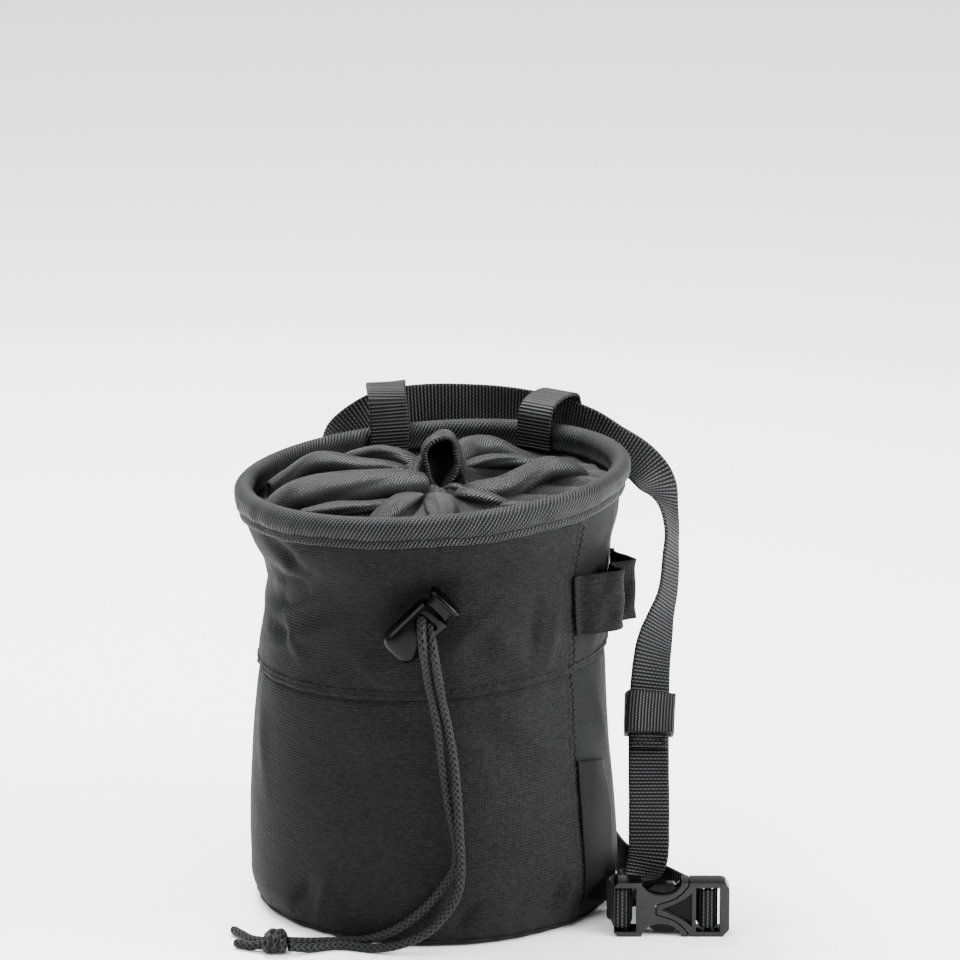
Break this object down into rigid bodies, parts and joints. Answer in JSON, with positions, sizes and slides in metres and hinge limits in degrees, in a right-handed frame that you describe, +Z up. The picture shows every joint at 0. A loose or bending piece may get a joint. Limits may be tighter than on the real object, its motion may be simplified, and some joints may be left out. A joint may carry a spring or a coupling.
{
  "type": "climbing chalk bag",
  "caption": "Round nylon chalk bag with a stiff rolled rim, gathered drawcord closure, cord lock, brush sleeve and a waist belt with a side-release buckle.",
  "frame": {"origin": "centre of the round base, on the surface it stands on", "axes": "+Z up along the bag, -Y out of the front that carries the cord lock, +X towards the belt's buckle"},
  "size_m": [0.1812, 0.1911, 0.1749],
  "materials": {
    "body_nylon": "matt plain-weave nylon",
    "closure_nylon": "soft sheen twill nylon",
    "binding_tape": "herringbone tape",
    "webbing": "cross-ribbed webbing",
    "cord_braid": "braided sheath",
    "buckle_plastic": "fine grained",
    "lock_plastic": "smooth moulded",
    "label_cloth": "smooth coated"
  },
  "bodies": {
    "bag": {"body_upper": "body_nylon", "body_lower": "body_nylon", "base_panel": "body_nylon", "rim_binding": "binding_tape", "closure": "closure_nylon", "loop_left": "webbing", "loop_right": "webbing", "belt": "webbing", "belt_keeper": "webbing", "belt_tail": "webbing", "buckle_female": "buckle_plastic", "buckle_male": "buckle_plastic", "cord_lock_barrel": "lock_plastic", "cord_a": "cord_braid", "cord_b": "cord_braid", "cord_knot": "cord_braid", "brush_sleeve": "body_nylon", "label": "label_cloth"},
    "plunger": {"cord_lock_plunger": "lock_plastic"}
  },
  "joints": [
    {"name": "cord_lock_press", "type": "slide", "parent": "bag", "child": "plunger", "axis": [-0.7009, 0, -0.7132], "range_m": [0, 0.0036], "stiffness_N_per_m": 200, "springref_m": -0.004}
  ]
}
